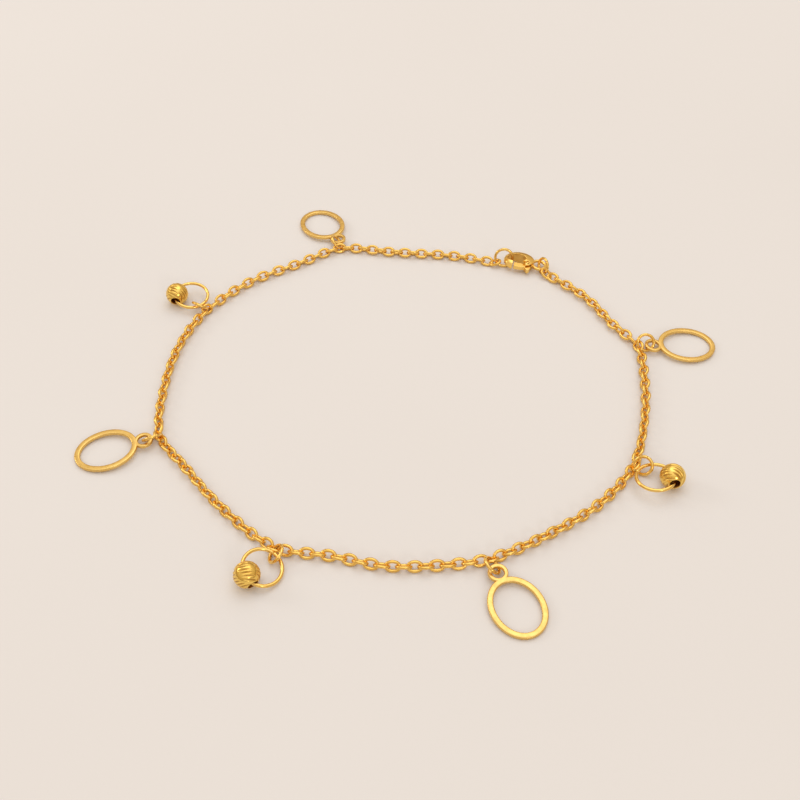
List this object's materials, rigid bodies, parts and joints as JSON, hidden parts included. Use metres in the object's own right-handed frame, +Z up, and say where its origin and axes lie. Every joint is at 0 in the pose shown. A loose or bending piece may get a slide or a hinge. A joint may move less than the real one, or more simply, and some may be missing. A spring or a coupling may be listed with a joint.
{
  "type": "charm bracelet",
  "caption": "Fastened cable chain bracelet with open oval charms, diamond-cut bead charms on wire rings and a lobster clasp, lying in a whole loop.",
  "frame": {"origin": "middle of the bracelet's box, on the surface that it lies on", "axes": "+Z up off the surface; the clasp is on the +Y side and the eye end of the clasp points to +X"},
  "size_m": [0.0888, 0.0804, 0.0032],
  "materials": {
    "polished_gold": "polished",
    "chain_gold": "polished",
    "oval_gold": "flat faces lightly brushed, edges polished"
  },
  "bodies": {
    "bracelet": {"chain": "chain_gold", "clasp_body": "polished_gold", "clasp_pin": "polished_gold", "clasp_hook_ring": "polished_gold", "clasp_eye_ring": "polished_gold", "jump_ring_1": "polished_gold", "jump_ring_2": "polished_gold", "jump_ring_3": "polished_gold", "jump_ring_4": "polished_gold", "jump_ring_5": "polished_gold", "jump_ring_6": "polished_gold", "jump_ring_7": "polished_gold", "oval_charm_1": "oval_gold", "oval_charm_2": "oval_gold", "oval_charm_3": "oval_gold", "oval_charm_4": "oval_gold", "wire_ring_1": "polished_gold", "wire_ring_2": "polished_gold", "wire_ring_3": "polished_gold", "bead_1": "polished_gold", "bead_2": "polished_gold", "bead_3": "polished_gold"},
    "lever": {"clasp_lever": "polished_gold"}
  },
  "joints": [
    {"name": "lever_swing", "type": "hinge", "parent": "bracelet", "child": "lever", "pos_m": [0.01848, 0.02522, 0.00088], "axis": [0.0858, -0.0151, 0.9962], "range_deg": [-20, 0], "stiffness_Nm_per_rad": 0.0015, "springref_deg": 8.59}
  ]
}
